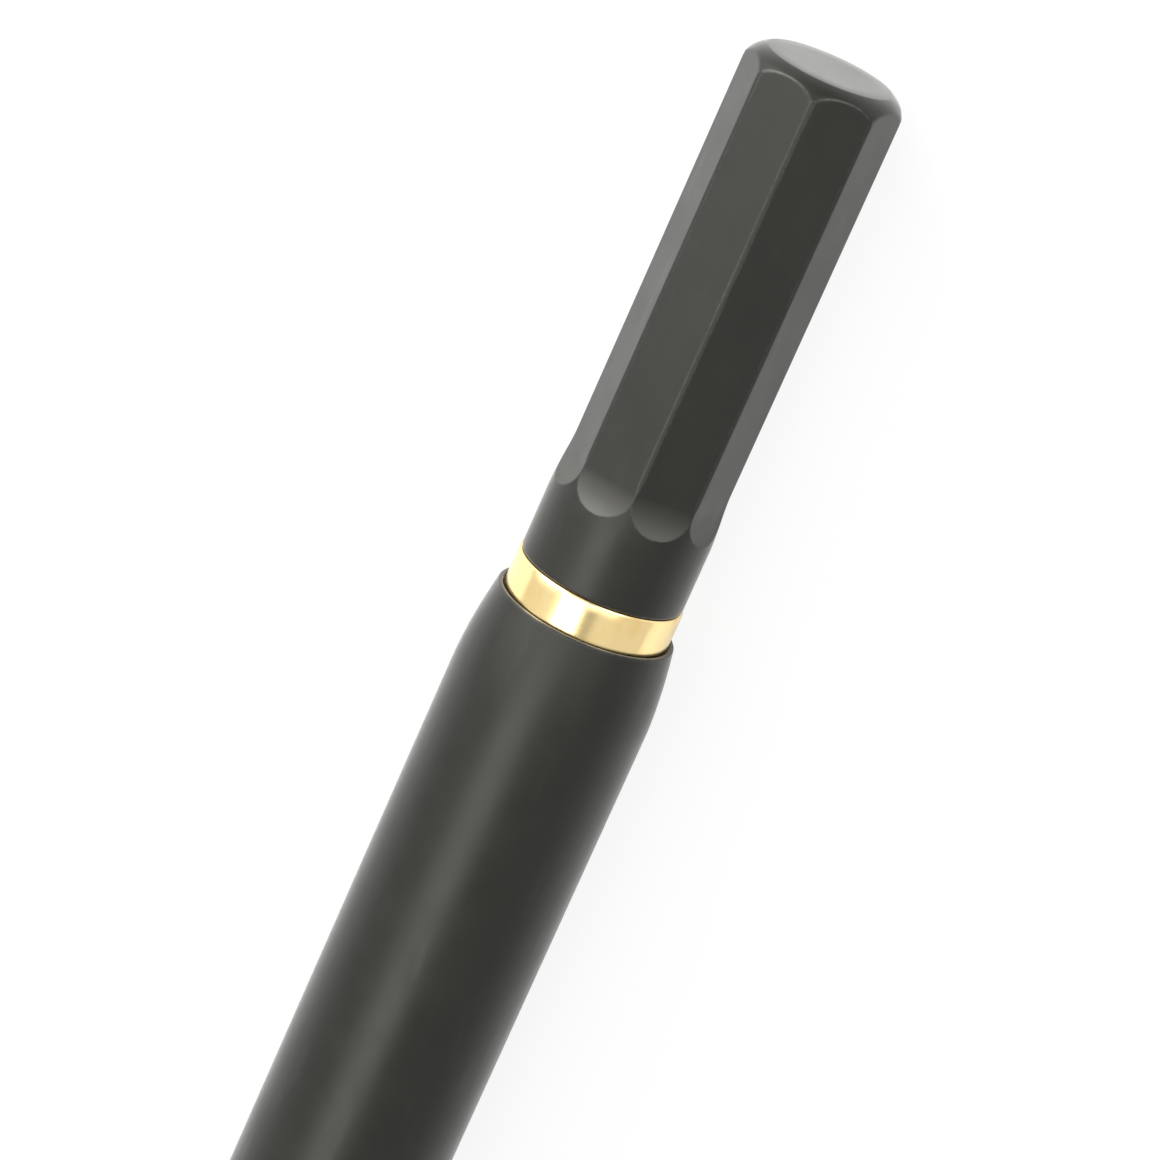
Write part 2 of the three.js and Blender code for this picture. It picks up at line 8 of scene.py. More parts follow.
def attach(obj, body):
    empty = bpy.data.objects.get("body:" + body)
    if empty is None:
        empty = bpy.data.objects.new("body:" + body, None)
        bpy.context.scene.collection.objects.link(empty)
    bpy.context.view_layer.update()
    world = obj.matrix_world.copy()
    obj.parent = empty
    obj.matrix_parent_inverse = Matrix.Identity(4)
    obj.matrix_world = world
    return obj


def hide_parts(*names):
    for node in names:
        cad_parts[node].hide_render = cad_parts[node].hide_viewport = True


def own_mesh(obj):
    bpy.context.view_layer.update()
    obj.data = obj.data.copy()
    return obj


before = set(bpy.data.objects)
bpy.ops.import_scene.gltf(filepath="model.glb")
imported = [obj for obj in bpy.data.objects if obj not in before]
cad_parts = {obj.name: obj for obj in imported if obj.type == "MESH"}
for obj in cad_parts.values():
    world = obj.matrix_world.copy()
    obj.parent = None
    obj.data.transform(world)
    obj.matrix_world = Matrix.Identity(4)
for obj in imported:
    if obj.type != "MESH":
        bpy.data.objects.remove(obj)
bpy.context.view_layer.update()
scene = bpy.context.scene

# The camera: a long lens held high over the knob end. The pen runs up the picture to the right, and
# the frame holds its rear half: the knob, the collar ring and the barrel up to the lower edge.
camera = bpy.data.objects.new("camera", bpy.data.cameras.new("camera"))
scene.collection.objects.link(camera)
scene.camera = camera
camera.data.sensor_width = 36
camera.data.lens = 166.0
camera.data.clip_start = 0.01
sight = Vector((-0.3087, 0.03334, -0.95058)).normalized()
upright = Vector((0.86811, 0.41829, -0.26725))
sideways = sight.cross(upright).normalized()
turn = Matrix((sideways, sideways.cross(sight), -sight)).transposed()
stand = Vector((0.1234670, -0.0079260, 0.2585742))
camera.matrix_world = Matrix.Translation(stand) @ turn.to_4x4()

# The barrel: one aluminium tube turned to a long taper in front and a rounded shoulder behind, blasted
# fine and anodised satin black. Its mouth is bored out to a thin lip that stands clear of the ring.
MM = 0.001
AXIS_HEIGHT = 5.22472
MIDDLE = 70.0
NOSE_LENGTH = 18.0
MOUTH = 109.8
BARREL_RADIUS = 5.25
BARREL_FRONT_RADIUS = 4.55
TAPER_LENGTH = 42.0
SHOULDER_LENGTH = 4.7
SHOULDER_DRAW = 0.51
SHOULDER_POWER = 1.7
LIP_BORE = 4.52
HOUSING_TOP = 107.3
HOUSING_BASE = 96.25
HOUSING_SEAT = 4.1
BARREL_BORE = 3.5
THREAD_BUSH_END = 24.1
THREAD_BUSH_SEAT = 4.1
FRONT_EDGE = 0.08
LIP_EDGE = 0.05


def stretch(start, end, steps, radius_at):
    """Points (station, radius) of a smooth stretch of a turned outline, from a formula."""
    stations = [start + (end - start) * i / steps for i in range(steps + 1)]
    return [(station, radius_at(station)) for station in stations]


def corner(station, radius, size, start, end, steps=5):
    """Points of a rounded corner about a centre (station, radius), between two angles in degrees."""
    angles = [math.radians(start + (end - start) * i / steps) for i in range(steps + 1)]
    return [(station + size * math.sin(a), radius + size * math.cos(a)) for a in angles]


def place(station, radius):
    """A point straight above the pen's axis, in metres, at a station measured from the nose tip."""
    return Vector(((station - MIDDLE) * MM, 0, (AXIS_HEIGHT + radius) * MM))


def turned(outline, steps, closed=True):
    """A bmesh of an outline spun round the pen's axis. An open outline starts and ends on the axis."""
    mesh = bmesh.new()
    points = [mesh.verts.new(place(*point)) for point in outline]
    edges = [mesh.edges.new(pair) for pair in zip(points, points[1:])]
    if closed:
        edges.append(mesh.edges.new((points[-1], points[0])))
    bmesh.ops.spin(mesh, geom=points + edges, cent=place(0, 0), axis=(1, 0, 0),
                   angle=2 * math.pi, steps=steps, use_merge=True)
    bmesh.ops.remove_doubles(mesh, verts=mesh.verts, dist=0.002 * MM)
    bmesh.ops.recalc_face_normals(mesh, faces=mesh.faces)
    return mesh


def finished(mesh, name, body, node, material):
    """The bmesh as a piece of the pen: it rides on a body, stands for a CAD node and has a finish."""
    data = bpy.data.meshes.new(name)
    mesh.to_mesh(data)
    mesh.free()
    data.shade_smooth()
    data.set_sharp_from_angle(angle=math.radians(32))
    data.materials.append(material)
    piece = bpy.data.objects.new(name, data)
    scene.collection.objects.link(piece)
    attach(piece, body)
    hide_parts(node)
    return piece


class Value:
    """A socket of a material's nodes. Sums and products of values add Math nodes."""

    def __init__(self, finish, socket):
        self.finish, self.socket = finish, socket

    def math(self, operation, *others, **settings):
        values = dict(enumerate((self,) + others))
        return self.finish.node("Math", dict(operation=operation, **settings), values)

    def __add__(self, other):
        return self.math("ADD", other)

    def __sub__(self, other):
        return self.math("SUBTRACT", other)

    def __rsub__(self, other):
        return (self * -1) + other

    def __mul__(self, other):
        return self.math("MULTIPLY", other)

    __radd__ = __add__
    __rmul__ = __mul__


class Finish:
    """The nodes of a material or of the world. The node method makes any node: first its settings,
    then its sockets' values or links."""

    def __init__(self, holder):
        holder.use_nodes = True
        self.holder = holder
        self.nodes = holder.node_tree.nodes
        self.links = holder.node_tree.links
        self.nodes.clear()

    def node(self, kind, settings=None, sockets=None, out=0):
        made = self.nodes.new("ShaderNode" + kind)
        for name, value in (settings or {}).items():
            setattr(made, name, value)
        for name, value in (sockets or {}).items():
            if isinstance(value, Value):
                self.links.new(value.socket, made.inputs[name])
            else:
                made.inputs[name].default_value = value
        return Value(self, made.outputs[out]) if made.outputs else None

    def place(self, stretched=(1, 1, 1)):
        """The piece's own coordinates in millimetres, stretched along each axis."""
        own = self.node("TexCoord", out="Object")
        scale = [1 / MM * s for s in stretched]
        return self.node("Mapping", {"vector_type": "POINT"}, {"Vector": own, "Scale": scale})

    def noise(self, size, stretched=(1, 1, 1), detail=2.0, roughness=0.5):
        """Noise from 0 to 1 whose grains are about that many millimetres wide."""
        return self.node("TexNoise", {"normalize": True}, {
            "Vector": self.place(stretched), "Scale": 1 / size, "Detail": detail,
            "Roughness": roughness})

    def step(self, value, start, end):
        """0 below the start, 1 above the end, and smooth between."""
        return self.node("MapRange", {"interpolation_type": "SMOOTHSTEP"}, {
            "Value": value, "From Min": start, "From Max": end})

    def mix(self, share, dark, light):
        return self.node("Mix", {"data_type": "RGBA"}, {0: share, 6: dark, 7: light}, out=2)

    def surface(self, **sockets):
        """The surface shader, with bump from a height in millimetres."""
        named = {name.replace("_", " "): value for name, value in sockets.items()}
        if "Height" in named:
            named["Normal"] = self.node("Bump", None, {
                "Height": named.pop("Height"), "Strength": 1.0, "Distance": MM})
        shader = self.node("BsdfPrincipled", None, named)
        self.node("OutputMaterial", None, {"Surface": shader})
        return self.holder


def satin_black(name):
    """Dyed anodising over a fine blast: nearly black, with a silky gloss and faint rubs. The edges are
    lighter, partly from wear and partly as a painted highlight; the scoops carry a painted highlight."""
    finish = Finish(bpy.data.materials.new(name))
    grain = finish.noise(0.07, detail=2.0)
    cloud = finish.noise(2.4, detail=4.0)
    rubbed = finish.step(finish.noise(0.9, stretched=(0.25, 1, 1), detail=5.0), 0.55, 0.8)
    speck = finish.step(finish.noise(0.12, detail=1.0), 0.68, 0.75)
    # The edge attribute lightens the colour along the knob's broken corners, its end arcs and the
    # barrel's lip: partly real wear, partly a painted highlight.
    edge = finish.node("Attribute", {"attribute_name": "edge"}, out="Fac")
    worn_and_highlight = edge * finish.step(finish.noise(0.22, detail=3.0), 0.3, 0.65)
    # Painted highlight: the scoops' colour is lightened where their curve would catch the light.
    painted_scoop_highlight = finish.node("Attribute", {"attribute_name": "scoop_highlight"}, out="Fac")
    # Rubs and specks are real marks; the edge term is wear together with a painted highlight, and the
    # scoop term is a painted highlight.
    mark = speck * rubbed * 0.3 + rubbed * 0.07 + worn_and_highlight * 0.32 + painted_scoop_highlight * 0.32
    body_colour = finish.mix(cloud, (0.0042, 0.0041, 0.0032, 1), (0.0076, 0.0074, 0.0059, 1))
    colour = finish.mix(mark, body_colour, (0.07, 0.069, 0.062, 1))
    roughness = cloud * 0.18 + rubbed * -0.07 + 0.315
    return finish.surface(
        Base_Color=colour, Roughness=roughness, IOR=1.4, Height=grain * 0.003,
        Specular_Tint=(1, 0.992, 0.93, 1), Sheen_Weight=0.57, Sheen_Roughness=0.3,
        Sheen_Tint=(1, 1, 0.96, 1))


def barrel_radius(station):
    along = min((station - NOSE_LENGTH) / TAPER_LENGTH, 1)
    return BARREL_RADIUS - (BARREL_RADIUS - BARREL_FRONT_RADIUS) * (1 - along) ** 2


def shoulder_radius(station):
    along = (station - MOUTH + SHOULDER_LENGTH) / SHOULDER_LENGTH
    return BARREL_RADIUS - SHOULDER_DRAW * along ** SHOULDER_POWER


shoulder_start = MOUTH - SHOULDER_LENGTH
taper_end = NOSE_LENGTH + TAPER_LENGTH
barrel_outline = (
    corner(NOSE_LENGTH + FRONT_EDGE, BARREL_FRONT_RADIUS - FRONT_EDGE, FRONT_EDGE, -90, 0)
    + stretch(NOSE_LENGTH + 2 * FRONT_EDGE, taper_end, 30, barrel_radius)
    + stretch(taper_end + 3, shoulder_start, 16, lambda station: BARREL_RADIUS)
    + stretch(shoulder_start + 0.1, MOUTH - LIP_EDGE, 30, shoulder_radius)
    + corner(MOUTH - LIP_EDGE, shoulder_radius(MOUTH) - 1.1 * LIP_EDGE, LIP_EDGE, 20, 90)
    + corner(MOUTH - LIP_EDGE, LIP_BORE + LIP_EDGE, LIP_EDGE, 90, 180)
    + [(HOUSING_TOP, LIP_BORE), (HOUSING_TOP, HOUSING_SEAT)]
    + [(HOUSING_BASE, HOUSING_SEAT), (HOUSING_BASE, BARREL_BORE)]
    + [(THREAD_BUSH_END, BARREL_BORE), (THREAD_BUSH_END, THREAD_BUSH_SEAT)]
    + [(NOSE_LENGTH, THREAD_BUSH_SEAT)])
barrel_mesh = turned(barrel_outline, 256)
# Along the lip's edge the colour is lightened: partly real wear, partly painted glints.
wear_and_highlight = barrel_mesh.verts.layers.float.new("edge")
for vert in barrel_mesh.verts:
    station = vert.co.x / MM + MIDDLE
    from_lip = abs(station - MOUTH) / LIP_EDGE
    vert[wear_and_highlight] = max(0.0, 1 - max(from_lip - 0.6, 0)) if station > HOUSING_TOP else 0.0
finished(barrel_mesh, "barrel_tube", "barrel", "barrel",
         satin_black("satin_black_barrel"))

# The knob: turned from bar, then milled with eight flats by a cutter whose round leaves a scoop at the
# end of each. A narrow broken corner runs between the flats, and the round end is faced off flat.
KNOB_BASE = 111.8
KNOB_END = 140.0
KNOB_BASE_RADIUS = 4.345
KNOB_BASE_EDGE = 0.16
FLATS = 8
FLAT_START = 117.7
KNOB_APOTHEM = 3.87
CUTTER_RADIUS = 3.88
LAND_BREAK = 0.042
END_FACE_RADIUS = 3.27
END_ROUND = 1.59
END_ROUND_START = 139.1
FLARE_START = 118.35
FLARE_END = 115.1
KNOB_BORE = 2.8
KNOB_BORE_END = 128.5
DRILL_POINT = 1.3
BUSH_SEAT = 3.45
BUSH_SEAT_END = 115.3
BASE_RECESS = 3.9
SCOOP_RIMS_FROM = 115.3
SCOOP_RIMS_TO = 116.7
END_EDGE_START = 139.75
SCOOP_HIGHLIGHT_FADE = 1.2
END_SOFTNESS = 0.08
LAND_SOFTNESS = 0.015
END_WEAR_AND_HIGHLIGHT = 0.05
LAND_WEAR_AND_HIGHLIGHT = 0.02
STEPS_IN_A_FLAT = 48
CROWDING = 0.7
half_flat = math.pi / FLATS


def cut_distance(station):
    """How far a flat's cut stands from the axis: level along the flat, then up the cutter's round."""
    past = min(max(FLAT_START - station, 0), CUTTER_RADIUS)
    return KNOB_APOTHEM + CUTTER_RADIUS - math.sqrt(CUTTER_RADIUS ** 2 - past ** 2)


def flared_corner(station):
    """The broken corners swell softly to the round base."""
    share = min(max((FLARE_START - station) / (FLARE_START - FLARE_END), 0), 1) ** 0.85
    return land_radius + (KNOB_BASE_RADIUS - land_radius) * share * share * (3 - 2 * share)


land_radius = KNOB_APOTHEM / math.cos(half_flat) - LAND_BREAK
chord = Vector((KNOB_END - END_ROUND_START, END_FACE_RADIUS - land_radius))
middle = Vector((END_ROUND_START, land_radius)) + chord / 2
rise = math.sqrt(END_ROUND ** 2 - chord.length_squared / 4) / chord.length
round_base, round_centre = middle + rise * Vector((chord.y, -chord.x))


def end_radius(station):
    if station < END_ROUND_START:
        return land_radius
    return round_centre + math.sqrt(max(END_ROUND ** 2 - (station - round_base) ** 2, 0))


knob_outline = (
    [(KNOB_BORE_END + DRILL_POINT, 0), (KNOB_BORE_END, KNOB_BORE), (BUSH_SEAT_END, KNOB_BORE)]
    + [(BUSH_SEAT_END, BUSH_SEAT), (KNOB_BASE, BUSH_SEAT), (KNOB_BASE, BASE_RECESS)]
    + corner(KNOB_BASE + KNOB_BASE_EDGE, KNOB_BASE_RADIUS - KNOB_BASE_EDGE, KNOB_BASE_EDGE, -90, 0, 8)
    + stretch(KNOB_BASE + 0.4, SCOOP_RIMS_FROM - 0.1, 10, flared_corner)
    + stretch(SCOOP_RIMS_FROM, SCOOP_RIMS_TO, 64, flared_corner)
    + stretch(SCOOP_RIMS_TO + 0.05, FLARE_START, 24, flared_corner)
    + stretch(FLARE_START + 0.3, END_ROUND_START - 0.2, 14, end_radius)
    + stretch(END_ROUND_START - 0.1, END_EDGE_START, 58, end_radius)
    + stretch(END_EDGE_START + 0.02, KNOB_END - 0.02, 12, end_radius)
    + [(KNOB_END - 0.005, END_FACE_RADIUS - 0.004), (KNOB_END, END_FACE_RADIUS - 0.03)]
    + [(KNOB_END, 2.4), (KNOB_END, 0)])
knob_mesh = turned(knob_outline, FLATS * STEPS_IN_A_FLAT, closed=False)
for layer in ("edge", "scoop_highlight"):
    knob_mesh.verts.layers.float.new(layer)
wear_and_highlight, scoop_highlight = (knob_mesh.verts.layers.float[layer] for layer in ("edge", "scoop_highlight"))
for vert in knob_mesh.verts:
    station = vert.co.x / MM + MIDDLE
    up, across = vert.co.z / MM - AXIS_HEIGHT, vert.co.y / MM
    blank = math.hypot(up, across)
    if blank < KNOB_BORE - 0.1:
        continue
    share = (math.atan2(across, up) / (2 * half_flat)) % 1
    swung = 2 * share - 1
    # the mesh's steps stand closer together at the broken corners, where the shape turns
    crowded = (1 - CROWDING) * swung + CROWDING * math.sin(swung * math.pi / 2)
    angle = math.atan2(across, up) + (crowded - swung) * half_flat
    cut = cut_distance(station) / math.cos(crowded * half_flat)
    softness = END_SOFTNESS if station > END_ROUND_START - 0.15 else LAND_SOFTNESS
    overlap = max(softness - abs(blank - cut), 0) / softness
    radius = min(blank, cut) - overlap ** 2 * softness / 4
    # Lightened colour along the broken corners and the end arcs: partly real wear, partly a painted
    # highlight.
    width = END_WEAR_AND_HIGHLIGHT if station > END_ROUND_START - 0.1 else LAND_WEAR_AND_HIGHLIGHT
    vert[wear_and_highlight] = max(1 - abs(blank - cut) / width, 0) if blank > BUSH_SEAT + 0.1 else 0
    # The scoops' painted highlight fades in from the end of the flat towards the round base.
    depth = min(max((FLAT_START - station) / SCOOP_HIGHLIGHT_FADE, 0), 1)
    vert[scoop_highlight] = depth * min(max((blank - cut) / LAND_WEAR_AND_HIGHLIGHT, 0), 1)
    vert.co.z = (AXIS_HEIGHT + radius * math.cos(angle)) * MM
    vert.co.y = radius * math.sin(angle) * MM
finished(knob_mesh, "knob_shell", "knob", "knob", satin_black("satin_black_knob"))

# The collar ring: turned brass, polished and lacquered. Its skirt turns inside the barrel's lip, two
# millimetres of it show, and both rims have a small broken edge that catches the light.
RING_BASE = 107.8
RING_RADIUS = 4.42
RING_EDGE = 0.14


def polished_brass(name):
    """Polished brass with the fine rings that the lathe left, a little darker where it was rubbed."""
    finish = Finish(bpy.data.materials.new(name))
    rings = finish.noise(0.035, stretched=(1, 0.012, 0.012), detail=2.0)
    cloud = finish.noise(1.4, stretched=(0.6, 1, 1), detail=4.0)
    tarnish = finish.step(cloud, 0.45, 0.75)
    colour = finish.mix(tarnish, (0.97, 0.75, 0.37, 1), (0.93, 0.68, 0.29, 1))
    roughness = cloud * 0.08 + rings * 0.05 + 0.14
    return finish.surface(
        Base_Color=colour, Roughness=roughness, Metallic=1.0, Height=rings * 0.0008)


ring_outline = (
    stretch(RING_BASE + RING_EDGE, KNOB_BASE - RING_EDGE, 8, lambda station: RING_RADIUS)
    + corner(KNOB_BASE - RING_EDGE, RING_RADIUS - RING_EDGE, RING_EDGE, 25, 65, 3)
    + [(KNOB_BASE, RING_RADIUS - RING_EDGE - 0.02), (KNOB_BASE, BUSH_SEAT)]
    + [(RING_BASE, BUSH_SEAT), (RING_BASE, RING_RADIUS - RING_EDGE)])
brass = polished_brass("polished_brass")
finished(turned(ring_outline, 256), "collar_ring_brass", "knob", "collar_ring",
         brass)

# The nose cone: turned brass like the ring, an ogive that draws in to the point's hole, with a spigot
# that screws into the barrel. The return spring stands in its chamber.
NOSE_BASE_RADIUS = 4.5
NOSE_MOUTH_RADIUS = 1.6
NOSE_POWER = 1.5
NOSE_RIM = 0.12
NOSE_HOLE = 1.25
NOSE_LAND = 4.5
SPRING_CHAMBER = 2.1
SPIGOT_RADIUS = 3.65
SPIGOT_BORE = 3.1
SPIGOT_END = 24.0
SPIGOT_BORE_END = 17.0
CHAMBER_END = 7.0
SEAT_GAP = 0.05


def nose_radius(station):
    share = 1 - (1 - station / NOSE_LENGTH) ** NOSE_POWER
    return NOSE_MOUTH_RADIUS + (NOSE_BASE_RADIUS - NOSE_MOUTH_RADIUS) * share


nose_outline = (
    corner(NOSE_RIM, NOSE_MOUTH_RADIUS - NOSE_RIM + 0.02, NOSE_RIM, -90, -20, 5)
    + stretch(NOSE_RIM, NOSE_LENGTH - 0.1, 60, nose_radius)
    + [(NOSE_LENGTH - SEAT_GAP, NOSE_BASE_RADIUS - 0.06), (NOSE_LENGTH - SEAT_GAP, SPIGOT_RADIUS)]
    + [(SPIGOT_END, SPIGOT_RADIUS), (SPIGOT_END, SPIGOT_BORE), (SPIGOT_BORE_END, SPIGOT_BORE)]
    + [(CHAMBER_END, SPRING_CHAMBER), (NOSE_LAND, SPRING_CHAMBER)]
    + [(NOSE_LAND, NOSE_HOLE), (0, NOSE_HOLE)])
finished(turned(nose_outline, 192), "nose_cone_brass", "barrel", "nose_cone",
         brass)

# The plain brass turnings inside: a bush pressed into the barrel that takes the nose's thread, the
# housing of the mechanism, and the bush that holds knob, ring and cam sleeve together. Each outline
# gives its corners as station and radius.
TURNED_EDGE = 0.06
LATHE_RINGS = 0.0012
FINE_RINGS = 0.0006
warm_brass = (0.76, 0.56, 0.24, 1)
dull_brass = (0.62, 0.43, 0.17, 1)
brass_turnings = {
    "nose_thread_bush": ("barrel", [(18.1, 4.0), (24.0, 4.0), (24.0, 3.7), (18.1, 3.7)]),
    "mechanism_housing": ("barrel", [
        (96.3, 4.05), (107.3, 4.05), (107.3, 2.1), (103.0, 2.1), (103.0, 3.15), (96.3, 3.15)]),
    "knob_bush": ("knob", [(107.8, 3.4), (115.2, 3.4), (115.2, 2.8), (107.8, 2.8)]),
}


def turned_metal(name, bright, dull, roughness, ring_height):
    """Metal as it comes from the lathe: fine rings round it, and a little stain from handling."""
    finish = Finish(bpy.data.materials.new(name))
    rings = finish.noise(0.03, stretched=(1, 0.02, 0.02), detail=2.0)
    cloud = finish.noise(1.2, detail=4.0)
    colour = finish.mix(finish.step(cloud, 0.45, 0.8), bright, dull)
    return finish.surface(
        Base_Color=colour, Roughness=cloud * 0.1 + rings * 0.08 + roughness, Metallic=1.0,
        Height=rings * ring_height)


def eased(mesh, size):
    """Breaks the sharp corners of a turned mesh by that many millimetres."""
    sharp = [edge for edge in mesh.edges if edge.is_manifold and edge.calc_face_angle() > 0.6]
    bmesh.ops.bevel(mesh, geom=sharp, offset=size * MM, segments=2, profile=0.5, affect="EDGES",
                    material=-1)
    bmesh.ops.recalc_face_normals(mesh, faces=mesh.faces)
    return mesh


turned_brass = turned_metal("turned_brass", warm_brass, dull_brass, 0.22, LATHE_RINGS)
for node, (body, outline) in brass_turnings.items():
    mesh = eased(turned(outline, 96), TURNED_EDGE)
    finished(mesh, node + "_turning", body, node, turned_brass)

# The cam sleeve: brass tube, milled right through with two helical slots half a turn apart. Its
# frame part already has the slots to size, so it stays and takes the brass.
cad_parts["cam_sleeve"].material_slots[0].material = turned_metal(
    "milled_brass", warm_brass, dull_brass, 0.26, LATHE_RINGS)

# The guide tube and the pusher in it: moulded white acetal, waxy and faintly mottled. Both stay as
# the frame has them, with the straight slots and the cross hole.


def moulded(name, light, dark, roughness, grain_height, **more):
    """A moulded material: a soft mottle in the colour and a fine grain from the mould's skin."""
    finish = Finish(bpy.data.materials.new(name))
    mottle = finish.noise(1.6, detail=3.0)
    grain = finish.noise(0.06, detail=2.0)
    colour = finish.mix(finish.step(mottle, 0.3, 0.75), light, dark)
    return finish.surface(
        Base_Color=colour, Roughness=mottle * 0.08 + grain * 0.04 + roughness,
        Height=grain * grain_height, **more)


white_acetal = moulded("white_acetal", (0.8, 0.79, 0.75, 1), (0.74, 0.72, 0.66, 1), 0.4, 0.002)
for node in ("guide_tube", "pusher"):
    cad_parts[node].material_slots[0].material = white_acetal

# The thrust washer between housing and ring: punched from a slippery white sheet, matt and soft.
WASHER_BASE = 107.4
WASHER_TOP = 107.7
WASHER_RADIUS = 3.9
WASHER_BORE = 2.15
WASHER_EDGE = 0.04
slip_sheet = moulded("slip_sheet", (0.87, 0.87, 0.84, 1), (0.8, 0.8, 0.77, 1), 0.52, 0.004)
washer_outline = [(WASHER_BASE, WASHER_RADIUS), (WASHER_TOP, WASHER_RADIUS),
                  (WASHER_TOP, WASHER_BORE), (WASHER_BASE, WASHER_BORE)]
finished(eased(turned(washer_outline, 96), WASHER_EDGE), "thrust_washer_disc", "knob",
         "thrust_washer", slip_sheet)

# The small steel parts: the ground cross pin that rides in all four slots, the washer that takes up
# the end play, and the split clip in the guide tube's groove.
bright_steel = turned_metal(
    "bright_steel", (0.6, 0.6, 0.61, 1), (0.47, 0.47, 0.48, 1), 0.2, 0.0008)
for node in ("follower_pin", "spring_washer", "retaining_clip"):
    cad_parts[node].material_slots[0].material = bright_steel

# The friction ring: a round-section nitrile ring in the guide tube's seal groove. It drags on the
# cam sleeve's bore, so that the knob stays where it is left.
SEAL_STATION = 121.9
SEAL_RADIUS = 1.94
SEAL_WIRE = 0.2
nitrile = moulded(
    "soft_nitrile", (0.022, 0.022, 0.023, 1), (0.034, 0.034, 0.034, 1), 0.62, 0.006, IOR=1.45)
seal_section = corner(SEAL_STATION, SEAL_RADIUS, SEAL_WIRE, 0, 345, 23)
finished(turned(seal_section, 96), "friction_ring_seal", "barrel", "friction_ring",
         nitrile)

# The return spring: six turns of hard steel wire, between the nose's land and the refill's shoulder.
# The real spring shortens as the refill comes forward; here it is built at one length, with a mesh of
# its own.
SPRING_RADIUS = 1.62
SPRING_WIRE = 0.15
SPRING_FROM = 4.73
SPRING_TO = 11.97
SPRING_TURNS = 6
SPRING_SEAT = 4.6
spring_mesh = bmesh.new()
wire = [spring_mesh.verts.new(place(*point))
        for point in corner(SPRING_FROM, SPRING_RADIUS, SPRING_WIRE, 0, 330, 11)]
wire_edges = [spring_mesh.edges.new(pair) for pair in zip(wire, wire[1:] + wire[:1])]
spring_mesh.faces.new(wire)
spring_steps = SPRING_TURNS * 48
rise_of_a_step = Vector(((SPRING_TO - SPRING_FROM) * MM / spring_steps, 0, 0))
bmesh.ops.spin(spring_mesh, geom=wire + wire_edges, cent=place(0, 0), dvec=rise_of_a_step,
               axis=(1, 0, 0), angle=2 * math.pi * SPRING_TURNS, steps=spring_steps)
bmesh.ops.holes_fill(spring_mesh, edges=[edge for edge in spring_mesh.edges if edge.is_boundary])
bmesh.ops.recalc_face_normals(spring_mesh, faces=spring_mesh.faces)
spring = finished(spring_mesh, "return_spring_wire", "barrel", "return_spring", turned_metal(
    "spring_wire", (0.58, 0.58, 0.6, 1), (0.42, 0.42, 0.44, 1), 0.24, FINE_RINGS))
place(SPRING_SEAT, 0)
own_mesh(spring)

# The refill: a drawn steel tube with a long tapered neck, a nickel silver tip and its ground ball.
# These lie along the pen's axis, the ball foremost.
TIP_RADIUS = 1.15
TUBE_RADIUS = 2.9
TUBE_BORE = 2.6
TUBE_END = 93.5
TUBE_EDGE = 0.08
NECK_START = 12.2
NECK_END = 24.0
NECK_RADIUS = 1.9
TIP_SEAT = 1.2
TIP_SEAT_END = 15.05
refill_outline = [
    (NECK_START, TIP_SEAT), (NECK_START, NECK_RADIUS), (NECK_END, TUBE_RADIUS), (TUBE_END, TUBE_RADIUS),
    (TUBE_END, TUBE_BORE), (NECK_END, TUBE_BORE), (TIP_SEAT_END, 1.6), (TIP_SEAT_END, TIP_SEAT)]
finished(eased(turned(refill_outline, 96), TUBE_EDGE), "refill_tube_drawn", "refill", "refill_tube",
         turned_metal("drawn_steel", (0.63, 0.63, 0.64, 1), (0.52, 0.52, 0.54, 1), 0.2,
                               FINE_RINGS))
TIP_BORE = 0.4
TIP_END = 15.0
tip_outline = (
    [(2.2, TIP_BORE), (2.15, 0.41), (2.15, 0.45), (2.45, 0.53), (4.95, 1.09)]
    + [(5.1, 1.13), (5.25, TIP_RADIUS), (TIP_END, TIP_RADIUS), (TIP_END, TIP_BORE)])
finished(turned(tip_outline, 64), "refill_tip_cone", "refill", "refill_tip", turned_metal(
    "nickel_silver", (0.72, 0.69, 0.62, 1), (0.6, 0.57, 0.5, 1), 0.14, FINE_RINGS))
BALL_RADIUS = 0.35
BALL_STATION = 2.35
ball_mesh = turned(corner(BALL_STATION, 0, BALL_RADIUS, -90, 90, 24), 48, closed=False)
finished(ball_mesh, "writing_ball_ground", "refill", "writing_ball", turned_metal(
    "ground_carbide", (0.42, 0.43, 0.45, 1), (0.33, 0.34, 0.36, 1), 0.12, 0.0002))

# The ink and the notched plug that closes the tube behind it. Both stay as the frame has them.
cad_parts["ink_column"].material_slots[0].material = moulded(
    "black_ink", (0.004, 0.004, 0.007, 1), (0.008, 0.008, 0.012, 1), 0.16, 0.0005, IOR=1.48)
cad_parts["refill_plug"].material_slots[0].material = moulded(
    "grey_plastic", (0.235, 0.245, 0.26, 1), (0.205, 0.21, 0.225, 1), 0.34, 0.002)

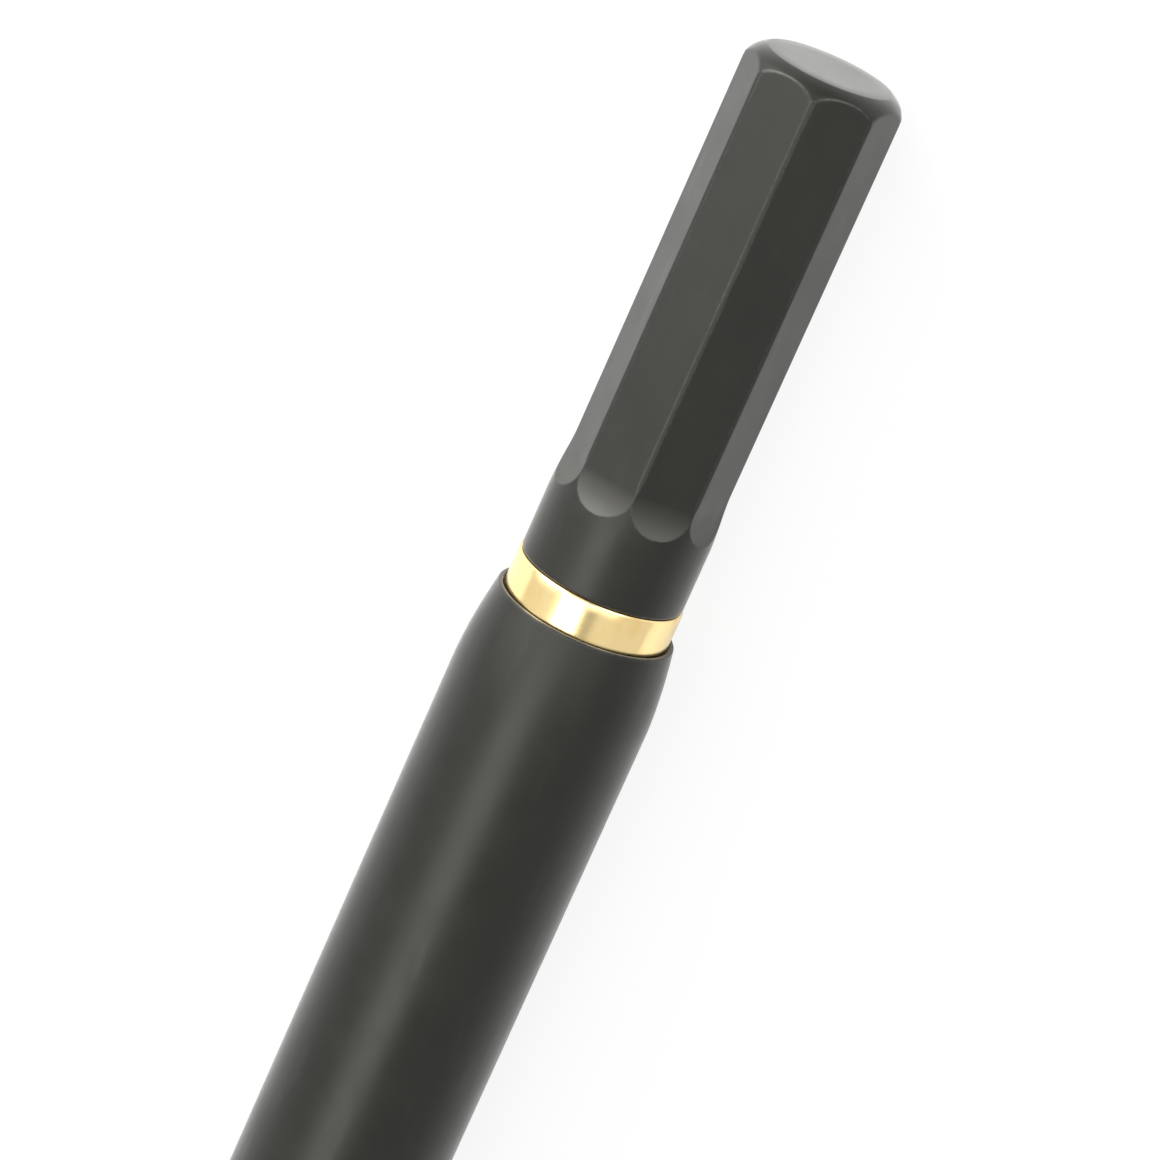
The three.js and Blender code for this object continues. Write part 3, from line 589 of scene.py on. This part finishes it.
# The floor: a plain pale sheet that takes the pen's shadow. The camera, and metal that mirrors it,
# see it near white, as they see the world beyond it.
WHITE_SEEN = 0.86
WHITE_MIRRORED = 0.3
floor_mesh = bmesh.new()
bmesh.ops.create_grid(floor_mesh, x_segments=1, y_segments=1, size=2)
bmesh.ops.translate(floor_mesh, verts=floor_mesh.verts, vec=(0, 0, (AXIS_HEIGHT - BARREL_RADIUS) * MM))
floor_data = bpy.data.meshes.new("floor")
floor_mesh.to_mesh(floor_data)
floor = bpy.data.objects.new("floor", floor_data)
scene.collection.objects.link(floor)
paper = Finish(bpy.data.materials.new("pale_floor"))
seen = paper.node("LightPath", out="Is Camera Ray")
mirrored = paper.node("LightPath", out="Is Glossy Ray")
through = paper.node("LightPath", out="Is Transmission Ray")
matte = paper.node("BsdfDiffuse", None, {"Color": (0.88, 0.88, 0.88, 1)})
white = paper.node("Emission", None, {"Color": (1, 1, 1, 1), "Strength": 1.0})
share_of_white = seen * WHITE_SEEN + (mirrored + through).math("MINIMUM", 1.0) * WHITE_MIRRORED
lit = paper.node("MixShader", None, {0: share_of_white, 1: matte, 2: white})
paper.node("OutputMaterial", None, {"Surface": lit})
floor_data.materials.append(paper.holder)

# The light: a room of white walls with seven soft boxes over the pen, the strongest to its left beyond
# the knob end. Over the pen the wall has a darker gap, which the brass shows as a darker stripe.
GAP_DEPTH = 0.6
WALL_IN_MIRRORS = 0.83
WALL_ON_MATT = 0.15
BOX_AIM = (45, 0, 5)
BOX_DISTANCE = 320
BOX_SIDE = 171
scene.world = bpy.data.worlds.new("white_room")
room = Finish(scene.world)
seen = room.node("LightPath", out="Is Camera Ray")
mirrored = room.node("LightPath", out="Is Glossy Ray")
through = room.node("LightPath", out="Is Transmission Ray")
direction = room.node("TexCoord", out="Generated")
dot = {"operation": "DOT_PRODUCT"}
to_right = room.node("VectorMath", dot, {0: direction, 1: (0, -1, 0)}, out="Value")
upward = room.node("VectorMath", dot, {0: direction, 1: (0, 0, 1)}, out="Value")
angle = to_right.math("ARCTAN2", upward)
gap = room.step(angle, -0.07, 0.0) * (1 - room.step(angle, 0.15, 0.37))
wall = (1 - gap * GAP_DEPTH) * WALL_IN_MIRRORS
bare = (mirrored + through).math("MINIMUM", 1.0)
brightness = (wall * bare + (1 - bare) * WALL_ON_MATT) * (1 - seen) + seen
background = room.node("Background", None, {"Color": (1, 1, 1, 1), "Strength": brightness})
room.node("OutputWorld", None, {"Surface": background})


def soft_box(name, toward, radiance):
    """A square lamp of an even radiance. Its sides lie along and across the pen."""
    lamp = bpy.data.lights.new(name, "AREA")
    lamp.shape = "RECTANGLE"
    lamp.size = BOX_SIDE * MM
    lamp.size_y = BOX_SIDE * MM
    lamp.energy = radiance * math.pi * lamp.size * lamp.size_y
    back = Vector(toward).normalized()
    length = (Vector((1, 0, 0)) - back * back.x).normalized()
    facing = Matrix((length.cross(back), length, back)).transposed().to_4x4()
    holder = bpy.data.objects.new(name, lamp)
    scene.collection.objects.link(holder)
    holder.matrix_world = Matrix.Translation((Vector(BOX_AIM) + BOX_DISTANCE * back) * MM) @ facing


# A lamp's angle to the pen's right and its angle beyond the knob end, in degrees, and its radiance.
lamps = {
    "nose_box": (-20, -25, 4.2), "left_box": (-63, 5, 2.9), "top_left_box": (-33, 5, 2.3),
    "top_box": (-3, 5, 2.3), "top_right_box": (27, 5, 1.2), "key_box": (-63, 35, 14.0),
    "end_box": (36, 38, 5.4)}
for name, (right, beyond, radiance) in lamps.items():
    right, beyond = math.radians(right), math.radians(beyond)
    toward = (math.sin(beyond), -math.cos(beyond) * math.sin(right), math.cos(beyond) * math.cos(right))
    soft_box(name, toward, radiance)

scene.view_settings.view_transform = "Standard"
